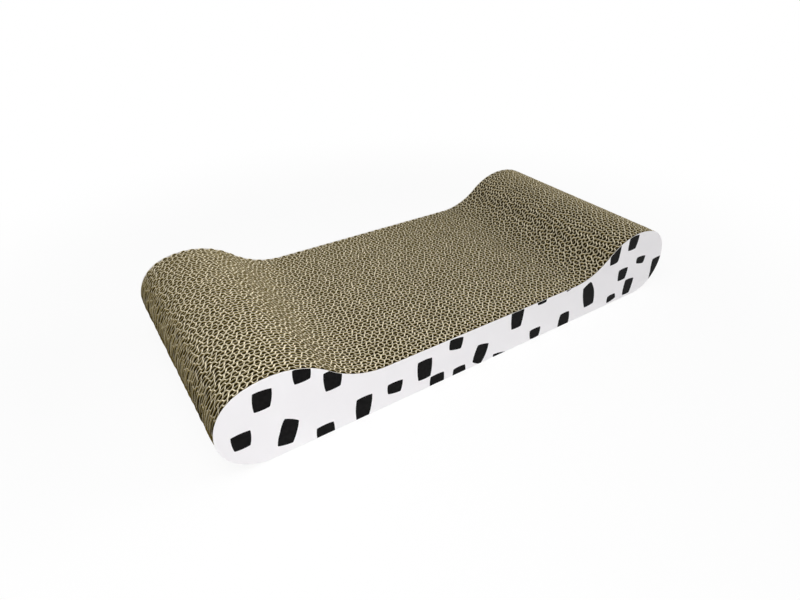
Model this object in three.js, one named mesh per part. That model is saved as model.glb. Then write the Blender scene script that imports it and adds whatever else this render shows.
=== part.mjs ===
// Cat scratcher: a low lounge block with a rounded bolster at each end and a dipped seat between them.
// It is a stack of die-cut double-wall corrugated boards that stand on edge, glued face to face across
// the width, with their flutes upright. A printed card covers the front face and another the back face.
// Millimetres. +X runs along the length, +Y from the front card to the back card, +Z up.
// The origin is on the floor, under the middle of the block.

import * as THREE from "three";

// Side profile, cut alike in every board
const LENGTH = 420;
const END_RADIUS = 32.2;
const END_TURN = THREE.MathUtils.degToRad(161);
const BOLSTER_RADIUS = 57;
const SEAT_ARC_RADIUS = 62.8;
const SEAT_DROP = 29.2;

// Stack across the width
const BOARD_COUNT = 30;
const BOARD_THICKNESS = 6.2;
const GLUE_FILM = 0.12;
const CARD_THICKNESS = 0.45;
const CARD_MARGIN = 0.5;

// The largest distance from a round stretch of the outline to the straight facet that stands for it
const CHORD_ERROR = 0.12;

// Points on an arc, from one angle to another, both ends included.
function arcPoints(centre, radius, from, to) {
  const facetAngle = 2 * Math.acos(1 - CHORD_ERROR / radius);
  const facets = Math.ceil(Math.abs(to - from) / facetAngle);
  const points = [];
  for (let i = 0; i <= facets; i++) {
    const angle = from + ((to - from) * i) / facets;
    points.push(
      new THREE.Vector2(
        centre.x + radius * Math.cos(angle),
        centre.y + radius * Math.sin(angle),
      ),
    );
  }
  return points;
}

// One half of the outline, from the floor at the right-hand end up over the bolster and down to the seat.
// The three arcs meet in common tangents. The inset draws the outline in by an even margin.
function halfOutline(inset) {
  const floor = -Math.PI / 2;
  const tip = 0;
  const crown = Math.PI / 2;

  // The end arc rises from the floor, round the end, to where the wider bolster arc takes over.
  const endCentre = new THREE.Vector2(LENGTH / 2 - END_RADIUS, END_RADIUS);
  const handOver = floor + END_TURN;

  // The bolster arc runs over the crown and leans down towards the seat.
  const bolsterCentre = new THREE.Vector2(Math.cos(handOver), Math.sin(handOver))
    .multiplyScalar(END_RADIUS - BOLSTER_RADIUS)
    .add(endCentre);
  const lean = Math.acos(1 - SEAT_DROP / (BOLSTER_RADIUS + SEAT_ARC_RADIUS));
  const leaveAngle = crown + lean;

  // The hollow arc brings the slope level with the seat.
  const hollowCentre = new THREE.Vector2(Math.cos(leaveAngle), Math.sin(leaveAngle))
    .multiplyScalar(BOLSTER_RADIUS + SEAT_ARC_RADIUS)
    .add(bolsterCentre);

  const lowerEnd = arcPoints(endCentre, END_RADIUS - inset, floor, tip);
  const upperEnd = arcPoints(endCentre, END_RADIUS - inset, tip, handOver);
  const bolster = arcPoints(bolsterCentre, BOLSTER_RADIUS - inset, handOver, leaveAngle);
  const hollow = arcPoints(hollowCentre, SEAT_ARC_RADIUS + inset, leaveAngle - Math.PI, floor);
  return [...lowerEnd, ...upperEnd.slice(1), ...bolster.slice(1), ...hollow.slice(1)];
}

// The whole outline: the right-hand half, the flat seat, and the mirrored half back to the floor.
function sideProfile(inset) {
  const right = halfOutline(inset);
  const left = right.map((point) => new THREE.Vector2(-point.x, point.y)).reverse();
  return new THREE.Shape([...right, ...left]);
}

const kraftBoard = () =>
  new THREE.MeshStandardMaterial({ color: 0xb8a27a, roughness: 0.9, metalness: 0 });

const printedCard = () =>
  new THREE.MeshStandardMaterial({ color: 0xf1eff1, roughness: 0.55, metalness: 0 });

// A flat piece of the profile, whose face nearest the front lies at the given depth in the stack.
function sheet(name, profile, thickness, depth, material) {
  const geometry = new THREE.ExtrudeGeometry(profile, { depth: thickness, bevelEnabled: false });
  const mesh = new THREE.Mesh(geometry, material);
  mesh.name = name;
  mesh.rotation.x = Math.PI / 2;
  mesh.position.y = depth + thickness;
  return mesh;
}

const boardProfile = sideProfile(0);
const cardProfile = sideProfile(CARD_MARGIN);
const boardPitch = BOARD_THICKNESS + GLUE_FILM;
const firstBoardDepth = CARD_THICKNESS + GLUE_FILM;
const backCardDepth = firstBoardDepth + BOARD_COUNT * boardPitch;
const width = backCardDepth + CARD_THICKNESS;

const scratcher = new THREE.Group();
scratcher.position.y = -width / 2;

scratcher.add(sheet("front_cover", cardProfile, CARD_THICKNESS, 0, printedCard()));
for (let i = 0; i < BOARD_COUNT; i++) {
  const name = "board_" + String(i + 1).padStart(2, "0");
  const depth = firstBoardDepth + i * boardPitch;
  scratcher.add(sheet(name, boardProfile, BOARD_THICKNESS, depth, kraftBoard()));
}
scratcher.add(sheet("back_cover", cardProfile, CARD_THICKNESS, backCardDepth, printedCard()));

export default scratcher;
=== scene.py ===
"""Looks of the cat scratcher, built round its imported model.

Every double-wall board becomes its five papers: three liners with a fine and a coarse fluted paper between
them. A printed card closes the front of the stack and another the back. Sizes are in millimetres, in the
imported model's frame, and meshes are written in metres.
"""

import math

import bpy
import numpy as np
from mathutils import Matrix, Vector
from mathutils.geometry import delaunay_2d_cdt

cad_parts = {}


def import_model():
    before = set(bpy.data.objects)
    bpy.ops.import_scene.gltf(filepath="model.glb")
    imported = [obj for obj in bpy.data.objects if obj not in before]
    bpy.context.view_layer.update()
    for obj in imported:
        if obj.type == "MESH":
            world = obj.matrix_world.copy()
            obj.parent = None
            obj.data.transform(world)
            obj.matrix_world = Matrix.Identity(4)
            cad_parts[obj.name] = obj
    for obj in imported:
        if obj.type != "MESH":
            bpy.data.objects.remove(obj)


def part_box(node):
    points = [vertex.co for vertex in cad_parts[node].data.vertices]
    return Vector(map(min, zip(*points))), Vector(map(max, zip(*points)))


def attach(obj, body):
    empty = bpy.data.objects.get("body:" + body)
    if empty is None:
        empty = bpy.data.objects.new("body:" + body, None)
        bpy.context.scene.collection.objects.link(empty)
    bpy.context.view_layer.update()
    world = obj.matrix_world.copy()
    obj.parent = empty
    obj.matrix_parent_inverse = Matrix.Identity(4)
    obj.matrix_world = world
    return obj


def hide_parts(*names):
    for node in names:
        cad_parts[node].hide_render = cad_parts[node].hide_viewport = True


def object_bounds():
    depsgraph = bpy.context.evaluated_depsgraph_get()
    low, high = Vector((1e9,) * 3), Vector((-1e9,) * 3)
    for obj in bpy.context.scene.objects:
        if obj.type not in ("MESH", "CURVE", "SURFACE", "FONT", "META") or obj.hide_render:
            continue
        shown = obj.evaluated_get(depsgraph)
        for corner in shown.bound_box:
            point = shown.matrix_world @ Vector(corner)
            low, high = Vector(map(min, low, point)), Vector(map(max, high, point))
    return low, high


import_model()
cad_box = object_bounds()

MM = 0.001
SEED = 20
WHITE = (1, 1, 1, 1)

# Side profile, alike in all boards
HALF_LENGTH = cad_box[1].x / MM
END_RADIUS = 32.2
END_CENTRE = HALF_LENGTH - END_RADIUS
END_TURN = math.radians(161)
BOLSTER_RADIUS = 57.0
HOLLOW_RADIUS = 62.8
SEAT_DROP = 29.2
CARD_MARGIN = 0.5
ARC_STEP = math.radians(1)
SLOPE_STEP = 0.05

# Papers of a double-wall board, front to back: liner, fine flutes, liner, coarse flutes, liner
BOARD_COUNT = 30
LINER_COUNT = 3
FLUTE_COUNT = 2
LINER_THICKNESS = 0.14
LINER_EDGE = 0.18
# Painted shade on the liners, darker than the flutes' flanks
LINER_PAINTED_SHADE = 0.7
FLUTE_THICKNESS = 0.18
RISING_EDGE = 1.02
FALLING_EDGE = 0.66
# Painted shade on the flutes: none at the flanks, darker at the crests
FLUTE_TONE = 1.0
CREST_PAINTED_SHADE = 0.75
PAPER_SPREAD = 0.03
FLANK_SPREAD = 0.13
EDGE_SPREAD = 0.3
END_CLEARANCE = 0.3
PAPER_END = HALF_LENGTH - END_CLEARANCE

# Run of a fluted paper. Its first crest lies between two shares of a pitch before the paper's end, and the
# powers say how close to a crest its cut edge narrows and its painted shade sets in.
FINE_PITCH = 6.46
COARSE_PITCH = 7.42
FINE_SHARE = 0.475
GLUE_LINE = 0.02
FLUTE_ROUNDING = 0.14
FLUTE_LEAN = 0.2
CREST_STRAY = 0.32
FIRST_CREST = (0.5, 1.0)
SPARE_CRESTS = 4
CREST_EDGE_POWER = 6
CREST_SHADE_POWER = 4

# Cut edges of the papers, with the most of a paper's height that the painted shade below a cut may take
EDGE_BURR = 0.25
SHADE_REACH = 1.1
SHADE_SHARE = 0.4
EDGE_RECESS = 0.35
EDGE_FRAY = 0.25
OUTER_LINER_RECESS = 0.9
SHARP_ANGLE = math.radians(40)

# Steep ends of the profile, by the upright share of its normal: there the liners show, the flutes' cut edges
# narrow and darken with painted shade, and each paper stops short of the profile by its own amount
STEEP_BELOW = 0.45
LEVEL_ABOVE = 0.85
END_LINER_EDGE = 0.34
END_LINER_PAINTED_SHADE = 0.72
END_FLUTE_PAINTED_SHADE = 0.6
END_SHADE_REACH = 0.38
END_STAGGER = 0.9
STAGGER_SEED = 1

# Slow sway of the glued joints along the length
SWAY_REACH = 0.16
SWAY_WAVES = (41.0, 67.0, 113.0)

# Spacing of the points along a paper, and how finely their places are told apart
LINER_STEP = 4.0
LINER_DIGITS = 2
STEPS_PER_HALF_FLUTE = 5
FLUTE_DIGITS = 3
END_STEP = math.radians(4)
END_FINE_FROM = math.radians(40)
END_TOLERANCE = 0.01

# Depth on a paper, with its colour there: at the cut edge, on the wall just below it and inside the flutes.
# The cut edge is paler paper; the darkening below it is painted shade.
CUT, BELOW, INSIDE = 0.0, 0.5, 1.0
KRAFT_AND_PAINTED_SHADE_COLOURS = (
    (CUT, (0.90, 0.80, 0.57)),
    (BELOW, (0.45, 0.335, 0.08)),
    (INSIDE, (0.05, 0.033, 0.007)),
)

# Middle range and detail of a noise
NOISE_LOW, NOISE_HIGH = 0.3, 0.7
CLOUD_DETAIL = 3
GRAIN_DETAIL = 4

# Paper: the fibres stand upright and vary its shade
PAPER_ROUGHNESS = 0.93
PAPER_SHEEN = 0.1
FIBRE_SIZE = (0.5, 0.5, 1.5)
FIBRE_DARK, FIBRE_PALE = 0.84, 1.02
FIBRE_STRENGTH = 0.6
FIBRE_RELIEF = 0.1

# Card, ink and the card's cut rim: each wavers between two colours
CARD_ROUGHNESS = 0.5
CARD_CLOUD = (40, 40, 40)
CARD_COLOURS = ((0.895, 0.875, 0.895), (0.915, 0.90, 0.915))
INK_ROUGHNESS = 0.45
INK_SHEEN = 0.03
INK_CLOUD = (3, 3, 3)
INK_COLOURS = ((0.005, 0.0048, 0.005), (0.010, 0.0095, 0.0095))
RIM_ROUGHNESS = 0.9
RIM_CLOUD = (0.8, 0.8, 0.8)
RIM_COLOURS = ((0.78, 0.75, 0.69), (0.88, 0.86, 0.82))
GRAIN_SIZE = (0.6, 0.6, 0.6)
GRAIN_STRENGTH = 0.25
GRAIN_RELIEF = 0.02

# Finishes of a card, by their place in its list
BLANK, INK, RIM = 0, 1, 2

# Printed spots: corners in turn, x along the front face and z up from the floor
SPOT_CORNER = 1.1
SPOT_CORNER_POINTS = 5
SPOT_BOW = 0.03
SPOT_BOW_PLACES = (0.3, 0.5, 0.7)
SPOTS = (
    ((-182.5, 57.7), (-170.4, 56.8), (-173.6, 43.2), (-183.9, 43.2)),
    ((-200.4, 31.7), (-187.8, 31.9), (-189.8, 19.8), (-200.0, 19.8)),
    ((-166.7, 29.2), (-157.6, 23.0), (-164.0, 6.3), (-174.4, 8.7), (-171.3, 19.5)),
    ((-156.9, 63.4), (-145.0, 61.4), (-146.2, 52.2), (-156.9, 52.0)),
    ((-137.8, 51.7), (-124.6, 51.7), (-126.8, 36.8), (-137.7, 36.4)),
    ((-147.3, 9.0), (-134.8, 9.0), (-135.1, -3.0), (-147.8, -3.0)),
    ((-116.8, 18.3), (-104.3, 18.2), (-108.2, 0.2), (-118.4, 0.0)),
    ((-92.2, 19.4), (-79.4, 18.9), (-81.7, 8.7), (-92.4, 10.8)),
    ((-66.8, 27.4), (-54.2, 27.3), (-55.7, 10.3), (-66.6, 10.3)),
    ((-55.9, 9.0), (-43.4, 8.9), (-43.7, -3.0), (-56.2, -3.0)),
    ((-38.3, 35.5), (-25.7, 33.9), (-27.9, 23.8), (-38.9, 26.6)),
    ((-34.5, 6.5), (-23.2, 6.5), (-22.7, -3.0), (-35.2, -3.0)),
    ((-11.4, 19.6), (-0.3, 17.1), (-3.2, 6.5), (-7.9, -0.4), (-16.2, 4.7)),
    ((5.0, 3.5), (19.2, 0.3), (17.0, -4.0), (5.4, -4.0)),
    ((21.7, 40.0), (34.9, 40.0), (32.9, 20.1), (22.6, 20.1)),
    ((49.2, 40.0), (60.3, 40.0), (59.4, 33.4), (49.8, 33.4)),
    ((43.9, 10.5), (56.3, 10.5), (55.2, 1.1), (45.2, 1.1)),
    ((80.4, 40.0), (95.0, 39.0), (90.0, 36.4), (82.8, 34.5)),
    ((79.0, 13.2), (89.9, 13.2), (90.9, 0.2), (77.6, 0.3)),
    ((103.4, 30.3), (112.2, 35.0), (116.0, 30.0), (119.6, 21.5), (120.9, 10.0), (109.0, 9.0)),
    ((139.9, 9.4), (150.1, 10.0), (152.0, 4.4), (140.4, 2.0)),
    ((133.4, 66.0), (144.7, 66.0), (145.8, 52.0), (144.8, 43.8), (134.4, 43.1)),
    ((155.9, 64.1), (168.6, 64.4), (166.7, 51.2), (156.2, 51.1)),
    ((149.2, 33.8), (161.8, 33.9), (160.4, 22.1), (150.4, 22.1)),
    ((172.4, 40.0), (184.9, 38.9), (183.4, 31.2), (172.6, 33.8)),
    ((162.0, 19.8), (174.1, 18.7), (171.8, 3.1), (161.6, 3.4)),
    ((197.8, 30.6), (214.0, 30.9), (212.0, 6.0), (199.6, 6.0), (198.6, 18.0)),
)

# Filling of a card's outlines with triangles: only the inside is kept, and closer points become one
FILL_INSIDE = 1
WELD_DISTANCE = 1e-4

# Camera of the photograph: a plain pinhole, with the picture's middle off the lens axis
VIEW_AZIMUTH = math.radians(-35.874)
VIEW_ELEVATION = math.radians(33.965)
VIEW_ROLL = math.radians(0.768)
EYE = (-236.04, -356.47, 281.00)
LENS = 25.171
SENSOR = 36.0
SHIFT = (-0.05088, 0.01526)

# Studio: the floor shows white far from the block and keeps the shadow near it
FLOOR_SIZE = 40000.0
FLOOR_COLOUR = (0.9, 0.9, 0.9, 1)
FLOOR_ROUGHNESS = 0.9
FLOOR_DROP = 0.05
FLOOR_GLOW = 0.9
FLOOR_WHITE_FROM = 240.0
FLOOR_WHITE_TO = 560.0
FOOT_MARGIN = 1.0
# Painted shadow: colour of the patch under the block
PAINTED_SHADOW_COLOUR = (0.08, 0.065, 0.035, 1)
CORNERS = ((-1, -1), (1, -1), (1, 1), (-1, 1))
WORLD_STRENGTH = 0.24

# Soft boxes: name, place, width and watts
LAMPS = (
    ("key", (1500.0, -500.0, 550.0), 900.0, 15.2),
    ("top", (-250.0, -220.0, 420.0), 400.0, 1.8),
    ("fill", (0.0, 1500.0, 130.0), 250.0, 7.0),
)


def arc(centre, radius, start, end):
    """Points on an arc from one angle to another, both ends included."""
    steps = max(2, math.ceil(abs(end - start) / ARC_STEP))
    angles = np.linspace(start, end, steps + 1)
    return np.column_stack((centre[0] + radius * np.cos(angles), centre[1] + radius * np.sin(angles)))


def half_outline(inset):
    """The right-hand half of the profile: from the floor round to the tip, and from the tip to the seat."""
    down = -math.pi / 2
    up = math.pi / 2
    hand_over = down + END_TURN
    lean = math.acos(1 - SEAT_DROP / (BOLSTER_RADIUS + HOLLOW_RADIUS))
    leave = up + lean
    end_centre = np.array((END_CENTRE, END_RADIUS))
    outwards = np.array((math.cos(hand_over), math.sin(hand_over)))
    bolster_centre = end_centre + (END_RADIUS - BOLSTER_RADIUS) * outwards
    seatwards = np.array((math.cos(leave), math.sin(leave)))
    hollow_centre = bolster_centre + (BOLSTER_RADIUS + HOLLOW_RADIUS) * seatwards
    lower = arc(end_centre, END_RADIUS - inset, down, 0)
    upper_end = arc(end_centre, END_RADIUS - inset, 0, hand_over)
    bolster = arc(bolster_centre, BOLSTER_RADIUS - inset, hand_over, leave)
    hollow = arc(hollow_centre, HOLLOW_RADIUS + inset, leave - math.pi, down)
    return lower, np.vstack((upper_end, bolster[1:], hollow[1:]))


LOWER_EDGE, UPPER_EDGE = half_outline(0)


def bottom_height(x):
    """Height of the profile's lower edge at x."""
    return np.interp(np.abs(x), LOWER_EDGE[:, 0], LOWER_EDGE[:, 1])


def top_height(x):
    """Height of the profile's upper edge at x."""
    return np.interp(np.abs(x), UPPER_EDGE[::-1, 0], UPPER_EDGE[::-1, 1])


def upright(height, x):
    """Upright share of the profile's normal at x, on the edge that the height function follows."""
    slope = (height(x + SLOPE_STEP) - height(x - SLOPE_STEP)) / (2 * SLOPE_STEP)
    return 1 / np.sqrt(1 + slope**2)


def levelness(height, x):
    """0 on the steep ends of the profile, 1 on its level stretches."""
    return np.clip((upright(height, x) - STEEP_BELOW) / (LEVEL_ABOVE - STEEP_BELOW), 0, 1)


def end_places():
    """Places along the length, close together where the round ends turn steep, up to the papers' ends."""
    angles = np.arange(END_FINE_FROM, math.pi / 2, END_STEP)
    places = END_CENTRE + END_RADIUS * np.sin(angles)
    places = np.append(places[places < PAPER_END], PAPER_END)
    return np.concatenate((-places, places))


class Papers:
    """The papers of one board, gathered as closed sheets for a single mesh.

    A paper has two walls, each with the same levels of points from its lower cut edge to its upper one. On
    the flat layout every paper has a band for each wall and each cut edge, with its short ends beside them.
    """

    SIDES = 2
    LEVELS = 6
    LEVEL_DEPTH = np.array((CUT, BELOW, INSIDE, INSIDE, BELOW, CUT), np.float32)
    LEVEL_SHARE = np.array((0.0, 0.05, 0.2, 0.8, 0.95, 1.0))
    WALL_BAND = 0.085
    EDGE_BAND = 0.012
    BANDS = (WALL_BAND, WALL_BAND, EDGE_BAND, EDGE_BAND)
    BAND_GAP = 0.001
    RUN_FROM, RUN_TO = 0.002, 0.975
    ENDS_FROM, ENDS_TO = 0.985, 0.998

    def __init__(self, rng):
        self.rng = rng
        self.points = []
        self.faces = []
        self.maps = []
        self.tones_and_shades = []
        self.depths = []
        self.count = 0

    def add(self, x, y, thickness, edge, end_edge, tone_and_shade, short, sunk=0.0):
        """Adds a paper that follows the line x, y and stands from the profile's lower edge to its upper edge.

        It stops short of the round ends, and its cut edges may lie sunk below the profile.
        """
        n = len(x)
        along = np.column_stack((np.gradient(x), np.gradient(y)))
        along /= np.linalg.norm(along, axis=1)[:, None]
        across = np.column_stack((-along[:, 1], along[:, 0]))
        fray = 1 - EDGE_FRAY * self.rng.uniform(0, 1, (n, 2))
        half = np.full((n, self.LEVELS), thickness / 2)
        for end, cut_level, height in ((0, 0, bottom_height), (1, -1, top_height)):
            flat = levelness(height, x)
            half[:, cut_level] = (flat * edge + (1 - flat) * end_edge) * fray[:, end] / 2
        recess = sunk + EDGE_RECESS * self.rng.uniform(0, 1, (n, 2))
        room = SHADE_SHARE * (top_height(x) - bottom_height(x))

        points = np.empty((n, self.SIDES, self.LEVELS, 3))
        for side, way in enumerate((-1, 1)):
            shift = way * half[:, :, None] * across[:, None, :]
            points[:, side, :, 0] = x[:, None] + shift[:, :, 0]
            points[:, side, :, 1] = y[:, None] + shift[:, :, 1]
        for level, reach in enumerate((0.0, EDGE_BURR, SHADE_REACH)):
            low_x, high_x = points[:, :, level, 0], points[:, :, -1 - level, 0]
            low_drop = np.minimum(reach / np.sqrt(upright(bottom_height, x)), room * level / 2)
            high_drop = np.minimum(reach / np.sqrt(upright(top_height, x)), room * level / 2)
            points[:, :, level, 2] = bottom_height(low_x) + (recess[:, 0] + low_drop)[:, None]
            points[:, :, -1 - level, 2] = top_height(high_x) - (recess[:, 1] + high_drop)[:, None]
        self.depths.append(self.depth(points).ravel())
        along_end = np.clip((np.abs(points[..., 0]) - END_CENTRE) / END_RADIUS, 0, 1)
        points[..., 0] -= short * along_end * np.sign(points[..., 0])
        self.points.append(points.reshape(-1, 3))

        corner = self.count + np.arange(n * self.SIDES * self.LEVELS).reshape(n, self.SIDES, self.LEVELS)
        self.count += corner.size
        paper_tone_and_shade = tone_and_shade * (1 + PAPER_SPREAD * self.rng.uniform(-1, 1))
        self.tones_and_shades.append(np.repeat(np.broadcast_to(paper_tone_and_shade, n), self.SIDES * self.LEVELS))
        self.join(corner)

    def depth(self, points):
        """Depth of each point below its cut edge, which sets its painted shade. On the round ends the
        distance to the end counts too.
        """
        beyond = np.abs(points[..., 0]) - END_CENTRE
        inside = END_RADIUS - np.hypot(beyond, points[..., 2] - END_RADIUS)
        end_depth = np.interp(inside, (0, EDGE_BURR, END_SHADE_REACH), (CUT, BELOW, INSIDE))
        on_end = beyond > END_RADIUS * math.sin(END_TURN)
        return np.where(on_end, np.minimum(self.LEVEL_DEPTH, end_depth), self.LEVEL_DEPTH)

    def join(self, corner):
        """Faces of the last paper: both walls, both cut edges and both ends, each turned outwards."""
        n = len(corner)
        sheet = len(self.points) - 1
        u = np.linspace(self.RUN_FROM, self.RUN_TO, n)
        end_u = np.array((self.ENDS_FROM, self.ENDS_TO))
        for level in range(self.LEVELS - 1):
            v = self.LEVEL_SHARE[level : level + 2] * self.WALL_BAND
            for side in range(self.SIDES):
                low, high = corner[:, side, level], corner[:, side, level + 1]
                quads = np.column_stack((low[:-1], high[:-1], high[1:], low[1:]))
                maps = self.strip(u, *(self.row(sheet, side) + v))
                self.keep(quads, maps, turned=side == 0)
            for end, index in enumerate((0, n - 1)):
                near, far = corner[index, 0], corner[index, 1]
                quad = np.array([(near[level], near[level + 1], far[level + 1], far[level])])
                maps = self.strip(end_u, *(self.row(sheet, end) + v))
                self.keep(quad, maps, turned=end == 1)
        for band, level in ((2, 0), (3, self.LEVELS - 1)):
            near, far = corner[:, 0, level], corner[:, 1, level]
            quads = np.column_stack((near[:-1], far[:-1], far[1:], near[1:]))
            foot = self.row(sheet, band)
            maps = self.strip(u, foot, foot + self.EDGE_BAND)
            self.keep(quads, maps, turned=level > 0)

    def row(self, sheet, band):
        """Foot of a band on the flat layout: for each paper its two walls, then its two cut edges."""
        bands = list(self.BANDS) * sheet + list(self.BANDS[:band])
        return sum(bands) + len(bands) * self.BAND_GAP

    @staticmethod
    def strip(u, low, high):
        """Flat layout of a run of quads between two heights."""
        feet, tops = np.full(len(u) - 1, low), np.full(len(u) - 1, high)
        corners = ((u[:-1], feet), (u[:-1], tops), (u[1:], tops), (u[1:], feet))
        return np.stack([np.column_stack(c) for c in corners], axis=1)

    def keep(self, quads, maps, turned):
        """Stores faces, with their corner order turned round where they would face inwards."""
        order = slice(None, None, -1) if turned else slice(None)
        self.faces.append(quads[:, order])
        self.maps.append(maps[:, order])

    def mesh(self, name):
        """The mesh of all papers so far, in metres."""
        mesh = bpy.data.meshes.new(name)
        mesh.from_pydata(np.vstack(self.points) * MM, [], np.vstack(self.faces).tolist())
        for attribute, parts in (("tone_and_shade", self.tones_and_shades), ("depth", self.depths)):
            values = np.concatenate(parts).astype(np.float32)
            mesh.attributes.new(attribute, "FLOAT", "POINT").data.foreach_set("value", values)
        layer = mesh.uv_layers.new(name="OFBake")
        layer.uv.foreach_set("vector", np.vstack(self.maps).astype(np.float32).ravel())
        mesh.shade_smooth()
        mesh.set_sharp_from_angle(angle=SHARP_ANGLE)
        mesh.update()
        return mesh


def in_scene(name, data):
    """A new object with the given data, put in the scene."""
    piece = bpy.data.objects.new(name, data)
    bpy.context.scene.collection.objects.link(piece)
    return piece


def settle(name, mesh, node):
    """A piece of the object with the given mesh, in the place of its node, which it hides."""
    piece = in_scene(name, mesh)
    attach(piece, "root")
    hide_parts(node)
    return piece


def joint_sway(phases, joint, x):
    """How far a glued joint wanders from its plane. The joints at the two cards stay flat."""
    if joint in (0, BOARD_COUNT):
        return np.zeros_like(x)
    waves = [np.sin(2 * math.pi * x / wave + p) for wave, p in zip(SWAY_WAVES, phases[joint])]
    return SWAY_REACH * np.mean(waves, axis=0)


def flute_line(rng, pitch):
    """Points along a fluted paper: x, how far it has swung from -1 to 1, its edge's width and its shade."""
    crests = math.ceil(2 * PAPER_END / (pitch / 2)) + SPARE_CRESTS
    crest = np.arange(crests)
    first = -PAPER_END - pitch * rng.uniform(*FIRST_CREST)
    crest_x = first + pitch / 2 * crest + rng.normal(0, CREST_STRAY, crests)
    steps = np.arange(0, crests - 1, 1 / STEPS_PER_HALF_FLUTE)
    steps = np.concatenate((steps, np.interp(end_places(), crest_x, crest)))
    steps = np.unique(steps.round(FLUTE_DIGITS))
    swing = np.cos(math.pi * steps)
    spacing = np.diff(crest_x)[steps.astype(int).clip(max=crests - 2)]
    x = np.interp(steps, crest, crest_x)
    x += FLUTE_ROUNDING * spacing * np.sin(2 * math.pi * steps) + FLUTE_LEAN * swing
    inside = np.abs(x) <= PAPER_END + END_TOLERANCE
    flanks = crest + 0.5
    shade = np.interp(steps, flanks, rng.uniform(1 - FLANK_SPREAD, 1 + FLANK_SPREAD, crests))
    width = np.where(crest % 2, RISING_EDGE, FALLING_EDGE)
    width = np.interp(steps, flanks, width * rng.uniform(1 - EDGE_SPREAD, 1 + EDGE_SPREAD, crests))
    edge = FLUTE_THICKNESS + (width - FLUTE_THICKNESS) * (1 - swing**CREST_EDGE_POWER)
    return x[inside], swing[inside], edge[inside], shade[inside]


def fluted_board(number, phases):
    """One double-wall board as a piece of its own, in the place of its plain solid."""
    node = f"board_{number:02d}"
    low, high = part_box(node)
    front = low.y / MM + LINER_EDGE / 2
    back = high.y / MM - LINER_EDGE / 2
    middle = front + FINE_SHARE * (back - front)

    def liner_y(x, place):
        share = (place - front) / (back - front)
        sway = (1 - share) * joint_sway(phases, number - 1, x) + share * joint_sway(phases, number, x)
        return place + sway

    rng = np.random.default_rng((SEED, number))
    stagger_rng = np.random.default_rng((SEED, number, STAGGER_SEED))
    shorts = END_STAGGER * stagger_rng.uniform(0, 1, LINER_COUNT + FLUTE_COUNT)
    papers = Papers(rng)

    x = np.concatenate((np.arange(-PAPER_END, PAPER_END, LINER_STEP), end_places()))
    x = np.unique(x.round(LINER_DIGITS))
    flat = levelness(top_height, x)
    # Painted shade on the liners, changing on the round ends
    tone_and_shade = flat * LINER_PAINTED_SHADE + (1 - flat) * END_LINER_PAINTED_SHADE
    for place, short in zip((front, middle, back), shorts[:LINER_COUNT]):
        outer = (number == 1 and place == front) or (number == BOARD_COUNT and place == back)
        sunk = OUTER_LINER_RECESS if outer else 0
        papers.add(x, liner_y(x, place), LINER_THICKNESS, LINER_EDGE, END_LINER_EDGE, tone_and_shade, short, sunk)

    layers = ((front, middle, FINE_PITCH), (middle, back, COARSE_PITCH))
    for (near, far, pitch), short in zip(layers, shorts[LINER_COUNT:]):
        x, swing, edge, shade = flute_line(rng, pitch)
        near_y, far_y = liner_y(x, near), liner_y(x, far)
        reach = (far_y - near_y) / 2 - (LINER_EDGE + FLUTE_THICKNESS) / 2 - GLUE_LINE
        flat = levelness(top_height, x)
        # Painted shade at the crests and on the round ends, over a random shade per flank
        tone_and_shade = shade * (FLUTE_TONE + (CREST_PAINTED_SHADE - FLUTE_TONE) * swing**CREST_SHADE_POWER)
        tone_and_shade *= flat + (1 - flat) * END_FLUTE_PAINTED_SHADE
        y = (near_y + far_y) / 2 + reach * swing
        papers.add(x, y, FLUTE_THICKNESS, edge, FLUTE_THICKNESS, tone_and_shade, short)

    name = f"fluted_{node}"
    return settle(name, papers.mesh(name), node)


def rounded(corners):
    """A spot's closed outline, anticlockwise, with round corners and sides that swell a little."""
    corners = [np.array(c) for c in corners]
    middle = np.mean(corners, axis=0)
    points = []
    for i, corner in enumerate(corners):
        before, after = corners[i - 1], corners[(i + 1) % len(corners)]
        enter = corner + SPOT_CORNER * (before - corner) / np.linalg.norm(before - corner)
        leave = corner + SPOT_CORNER * (after - corner) / np.linalg.norm(after - corner)
        for t in np.linspace(0, 1, SPOT_CORNER_POINTS):
            points.append((1 - t) ** 2 * enter + 2 * t * (1 - t) * corner + t**2 * leave)
        side = after - corner
        outwards = np.array((side[1], -side[0]))
        if outwards @ (corner + side / 2 - middle) < 0:
            outwards = -outwards
        for t in SPOT_BOW_PLACES:
            points.append(corner + t * side + 4 * t * (1 - t) * SPOT_BOW * outwards)
    return points[::-1]


def card_outline():
    """The whole outline of a cover card, once round."""
    lower, upper = half_outline(CARD_MARGIN)
    right = np.vstack((lower, upper[1:]))
    left = right[::-1] * (-1, 1)
    return np.vstack((right, left))


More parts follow.
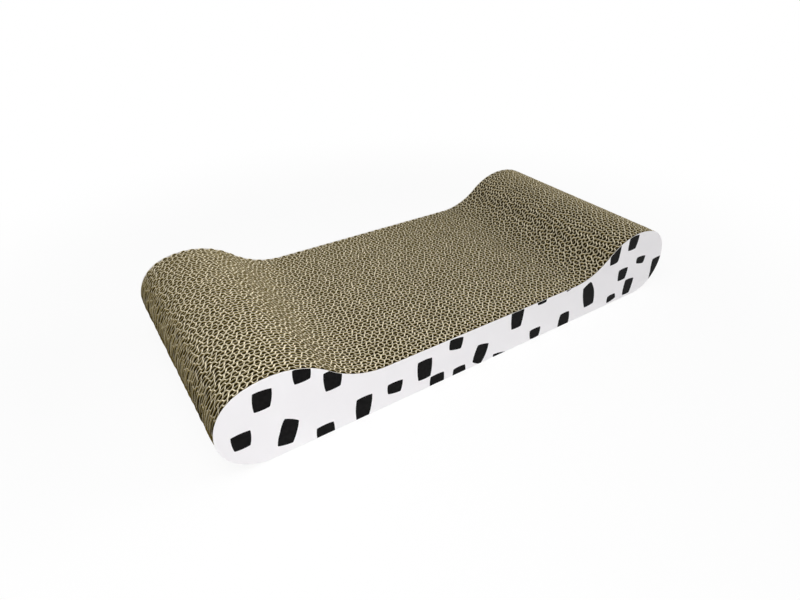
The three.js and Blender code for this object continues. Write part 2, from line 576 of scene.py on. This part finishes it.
def printed_card(name, node, facing):
    """A cover card with its spots set into the outer face. facing is -1 for the front and 1 for the back."""
    low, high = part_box(node)
    outer, inner = (low.y, high.y) if facing < 0 else (high.y, low.y)
    loops = [card_outline()] + [rounded(spot) for spot in SPOTS]
    places, faces = [], []
    for loop in loops:
        faces.append(list(range(len(places), len(places) + len(loop))))
        places.extend(Vector(p) for p in loop)
    flat, _, cells, _, _, sources = delaunay_2d_cdt(places, [], faces, FILL_INSIDE, WELD_DISTANCE)

    # The card's outline is the first loop: cells of that loop alone are blank, the rest of its cells inked.
    kept = [(cell, BLANK if source == [0] else INK) for cell, source in zip(cells, sources) if 0 in source]
    used = sorted({i for cell, _ in kept for i in cell})
    number = {old: new for new, old in enumerate(used)}

    # Seen from outside, the print runs the same way on both cards.
    points = [(-facing * flat[i].x * MM, depth, flat[i].y * MM) for depth in (outer, inner) for i in used]
    count = len(used)
    outside = [tuple(number[i] for i in cell) for cell, _ in kept]
    inside = [tuple(count + i for i in reversed(cell)) for cell in outside]
    runs = {(a, b) for cell in outside for a, b in zip(cell, cell[1:] + cell[:1])}
    rim = [(b, a, count + a, count + b) for a, b in sorted(runs) if (b, a) not in runs]

    mesh = bpy.data.meshes.new(name)
    mesh.from_pydata(points, [], outside + inside + rim)
    slots = [ink for _, ink in kept] + [BLANK] * len(inside) + [RIM] * len(rim)
    mesh.polygons.foreach_set("material_index", slots)
    mesh.update()
    return settle(name, mesh, node)


def node_tree(owner):
    """Nodes and links of a material or a world."""
    owner.use_nodes = True
    return owner.node_tree.nodes, owner.node_tree.links


class Finish:
    """A material in the making, with its main shader."""

    def __init__(self, name, roughness):
        self.material = bpy.data.materials.new(name)
        self.nodes, self.links = node_tree(self.material)
        self.shader = self.nodes["Principled BSDF"]
        self.shader.inputs["Roughness"].default_value = roughness

    def place(self):
        """Coordinate in millimetres of the object's own frame."""
        coordinate = self.nodes.new("ShaderNodeTexCoord")
        scale = self.nodes.new("ShaderNodeVectorMath")
        scale.operation = "SCALE"
        scale.inputs["Scale"].default_value = 1 / MM
        self.links.new(coordinate.outputs["Object"], scale.inputs[0])
        return scale.outputs[0]

    def attribute(self, name):
        """A value that the mesh keeps at its points."""
        node = self.nodes.new("ShaderNodeAttribute")
        node.attribute_name = name
        return node.outputs["Fac"]

    def noise(self, size, detail):
        """A noise whose grains have about the given size along each axis."""
        mapping = self.nodes.new("ShaderNodeMapping")
        mapping.inputs["Scale"].default_value = [1 / s for s in size]
        texture = self.nodes.new("ShaderNodeTexNoise")
        texture.inputs["Scale"].default_value = 1
        texture.inputs["Detail"].default_value = detail
        self.links.new(self.place(), mapping.inputs["Vector"])
        self.links.new(mapping.outputs[0], texture.inputs["Vector"])
        return texture.outputs["Fac"]

    def ramp(self, value, stops):
        """Colours along a value, as pairs of a place and a colour."""
        node = self.nodes.new("ShaderNodeValToRGB")
        elements = node.color_ramp.elements
        while len(elements) < len(stops):
            elements.new(0.5)
        for element, (place, colour) in zip(elements, stops):
            element.position = place
            element.color = (*colour, 1)
        self.links.new(value, node.inputs["Fac"])
        return node.outputs["Color"]

    def product(self, first, second):
        """Two values multiplied."""
        node = self.nodes.new("ShaderNodeMath")
        node.operation = "MULTIPLY"
        self.links.new(first, node.inputs[0])
        self.links.new(second, node.inputs[1])
        return node.outputs[0]

    def paint(self, colour):
        """Makes a colour the surface's own."""
        self.links.new(colour, self.shader.inputs["Base Color"])

    def paint_clouds(self, size, detail, colours):
        """Lets the surface waver between two colours, in clouds of about the given size."""
        stops = tuple(zip((NOISE_LOW, NOISE_HIGH), colours))
        self.paint(self.ramp(self.noise(size, detail), stops))

    def emboss(self, height, strength, depth):
        """Gives the surface a fine relief of the given depth."""
        node = self.nodes.new("ShaderNodeBump")
        node.inputs["Strength"].default_value = strength
        node.inputs["Distance"].default_value = depth * MM
        self.links.new(height, node.inputs["Height"])
        self.links.new(node.outputs["Normal"], self.shader.inputs["Normal"])


def kraft_paper():
    """Brown paper with upright fibres: pale at its cut edges, with painted shade inside the flutes, on the
    liners, the flute crests and the round ends.
    """
    finish = Finish("kraft_paper", PAPER_ROUGHNESS)
    finish.shader.inputs["Specular IOR Level"].default_value = PAPER_SHEEN
    # Painted shade: the colour darkens with depth below the cut edges
    colour = finish.ramp(finish.attribute("depth"), KRAFT_AND_PAINTED_SHADE_COLOURS)
    fibres = finish.noise(FIBRE_SIZE, GRAIN_DETAIL)
    mottle = finish.nodes.new("ShaderNodeMapRange")
    mottle.inputs["From Min"].default_value = NOISE_LOW
    mottle.inputs["From Max"].default_value = NOISE_HIGH
    mottle.inputs["To Min"].default_value = FIBRE_DARK
    mottle.inputs["To Max"].default_value = FIBRE_PALE
    finish.links.new(fibres, mottle.inputs["Value"])
    # Tone and painted shade kept at the points, times the fibres' mottle
    tone_and_shade = finish.product(finish.attribute("tone_and_shade"), mottle.outputs[0])
    toned = finish.nodes.new("ShaderNodeVectorMath")
    toned.operation = "SCALE"
    finish.links.new(colour, toned.inputs[0])
    finish.links.new(tone_and_shade, toned.inputs["Scale"])
    finish.paint(toned.outputs[0])
    finish.emboss(fibres, FIBRE_STRENGTH, FIBRE_RELIEF)
    return finish.material


def white_card():
    """Coated white card, satin, with a faint cloud and a fine grain."""
    finish = Finish("white_card", CARD_ROUGHNESS)
    finish.paint_clouds(CARD_CLOUD, CLOUD_DETAIL, CARD_COLOURS)
    finish.emboss(finish.noise(GRAIN_SIZE, GRAIN_DETAIL), GRAIN_STRENGTH, GRAIN_RELIEF)
    return finish.material


def black_ink():
    """Black print with a slight mottle and the card's grain."""
    finish = Finish("black_ink", INK_ROUGHNESS)
    finish.shader.inputs["Specular IOR Level"].default_value = INK_SHEEN
    finish.paint_clouds(INK_CLOUD, GRAIN_DETAIL, INK_COLOURS)
    finish.emboss(finish.noise(GRAIN_SIZE, GRAIN_DETAIL), GRAIN_STRENGTH, GRAIN_RELIEF)
    return finish.material


def card_rim():
    """Cut edge of the card, bare and a little grey."""
    finish = Finish("card_rim", RIM_ROUGHNESS)
    finish.paint_clouds(RIM_CLOUD, CLOUD_DETAIL, RIM_COLOURS)
    return finish.material


def stack():
    """All boards and both cards, dressed."""
    paper = kraft_paper()
    phases = np.random.default_rng(SEED).uniform(0, 2 * math.pi, (BOARD_COUNT + 1, len(SWAY_WAVES)))
    for number in range(1, BOARD_COUNT + 1):
        fluted_board(number, phases).data.materials.append(paper)
    finishes = (white_card(), black_ink(), card_rim())
    for name, node, facing in (("front_card", "front_cover", -1), ("back_card", "back_cover", 1)):
        card = printed_card(name, node, facing)
        for finish in finishes:
            card.data.materials.append(finish)


def seen_directly(nodes, links):
    """1 for rays that show the background itself: from the camera, in gloss or through glass. 0 for light."""
    path = nodes.new("ShaderNodeLightPath")
    total = path.outputs["Is Camera Ray"]
    for name in ("Is Glossy Ray", "Is Transmission Ray"):
        either = nodes.new("ShaderNodeMath")
        either.operation = "MAXIMUM"
        links.new(total, either.inputs[0])
        links.new(path.outputs[name], either.inputs[1])
        total = either.outputs[0]
    return total


def mix(nodes, links, share, first, second, output):
    """Sends a mix of two shaders to the surface: the first at a share of 0, the second at 1."""
    node = nodes.new("ShaderNodeMixShader")
    links.new(share, node.inputs["Fac"])
    links.new(first.outputs[0], node.inputs[1])
    links.new(second.outputs[0], node.inputs[2])
    links.new(node.outputs[0], nodes[output].inputs["Surface"])


def white_floor():
    """Pale floor that shows white, a little less so near the block, where it keeps a soft shadow."""
    finish = Finish("white_floor", FLOOR_ROUGHNESS)
    nodes, links = finish.nodes, finish.links
    finish.shader.inputs["Base Color"].default_value = FLOOR_COLOUR
    glow = nodes.new("ShaderNodeEmission")
    glow.inputs["Color"].default_value = WHITE
    distance = nodes.new("ShaderNodeVectorMath")
    distance.operation = "LENGTH"
    links.new(finish.place(), distance.inputs[0])
    fade = nodes.new("ShaderNodeMapRange")
    fade.interpolation_type = "SMOOTHSTEP"
    fade.inputs["From Min"].default_value = FLOOR_WHITE_FROM
    fade.inputs["From Max"].default_value = FLOOR_WHITE_TO
    fade.inputs["To Min"].default_value = FLOOR_GLOW
    links.new(distance.outputs["Value"], fade.inputs["Value"])
    share = finish.product(seen_directly(nodes, links), fade.outputs[0])
    mix(nodes, links, share, finish.shader, glow, "Material Output")
    return finish.material


def painted_shadow_floor():
    """Painted shadow: the floor under the block in a dark colour, which shows through the flutes from above.
    """
    finish = Finish("painted_shadow_floor", FLOOR_ROUGHNESS)
    finish.shader.inputs["Base Color"].default_value = PAINTED_SHADOW_COLOUR
    return finish.material


def floor():
    """A wide floor, with a patch of painted shadow that the block covers just above it."""
    half = FLOOR_SIZE / 2 * MM
    foot_x = END_CENTRE * MM
    foot_y = cad_box[1].y - FOOT_MARGIN * MM
    sheets = ((half, half, -FLOOR_DROP * MM), (foot_x, foot_y, 0))
    points = [(a * x, b * y, z) for x, y, z in sheets for a, b in CORNERS]
    mesh = bpy.data.meshes.new("floor")
    mesh.from_pydata(points, [], [(0, 1, 2, 3), (4, 5, 6, 7)])
    mesh.materials.append(white_floor())
    mesh.materials.append(painted_shadow_floor())
    mesh.polygons.foreach_set("material_index", [0, 1])
    piece = in_scene("floor", mesh)


def world():
    """Even white studio light, with a plain white background."""
    studio = bpy.data.worlds.new("studio")
    nodes, links = node_tree(studio)
    light = nodes["Background"]
    light.inputs["Color"].default_value = WHITE
    light.inputs["Strength"].default_value = WORLD_STRENGTH
    white = nodes.new("ShaderNodeBackground")
    white.inputs["Color"].default_value = WHITE
    mix(nodes, links, seen_directly(nodes, links), light, white, "World Output")
    bpy.context.scene.world = studio


def lamp(name, place, width, watts):
    """A square soft box that faces the object."""
    light = bpy.data.lights.new(name, "AREA")
    light.size = width * MM
    light.energy = watts
    piece = in_scene(name, light)
    piece.location = Vector(place) * MM
    piece.rotation_euler = piece.location.to_track_quat("Z", "Y").to_euler()


def camera():
    """The photograph's camera."""
    back = Vector((
        math.sin(VIEW_AZIMUTH) * math.cos(VIEW_ELEVATION),
        -math.cos(VIEW_AZIMUTH) * math.cos(VIEW_ELEVATION),
        math.sin(VIEW_ELEVATION),
    ))
    right = Vector((math.cos(VIEW_AZIMUTH), math.sin(VIEW_AZIMUTH), 0))
    level = Matrix((right, back.cross(right), back)).transposed()
    turn = (level @ Matrix.Rotation(VIEW_ROLL, 3, "Z")).to_4x4()
    data = bpy.data.cameras.new("camera")
    data.lens = LENS
    data.sensor_width = SENSOR
    data.shift_x, data.shift_y = SHIFT
    piece = in_scene("camera", data)
    piece.matrix_world = Matrix.Translation(Vector(EYE) * MM) @ turn
    bpy.context.scene.camera = piece


stack()
floor()
world()
for name, place, width, watts in LAMPS:
    lamp(name, place, width, watts)
camera()
bpy.context.scene.view_settings.view_transform = "Standard"
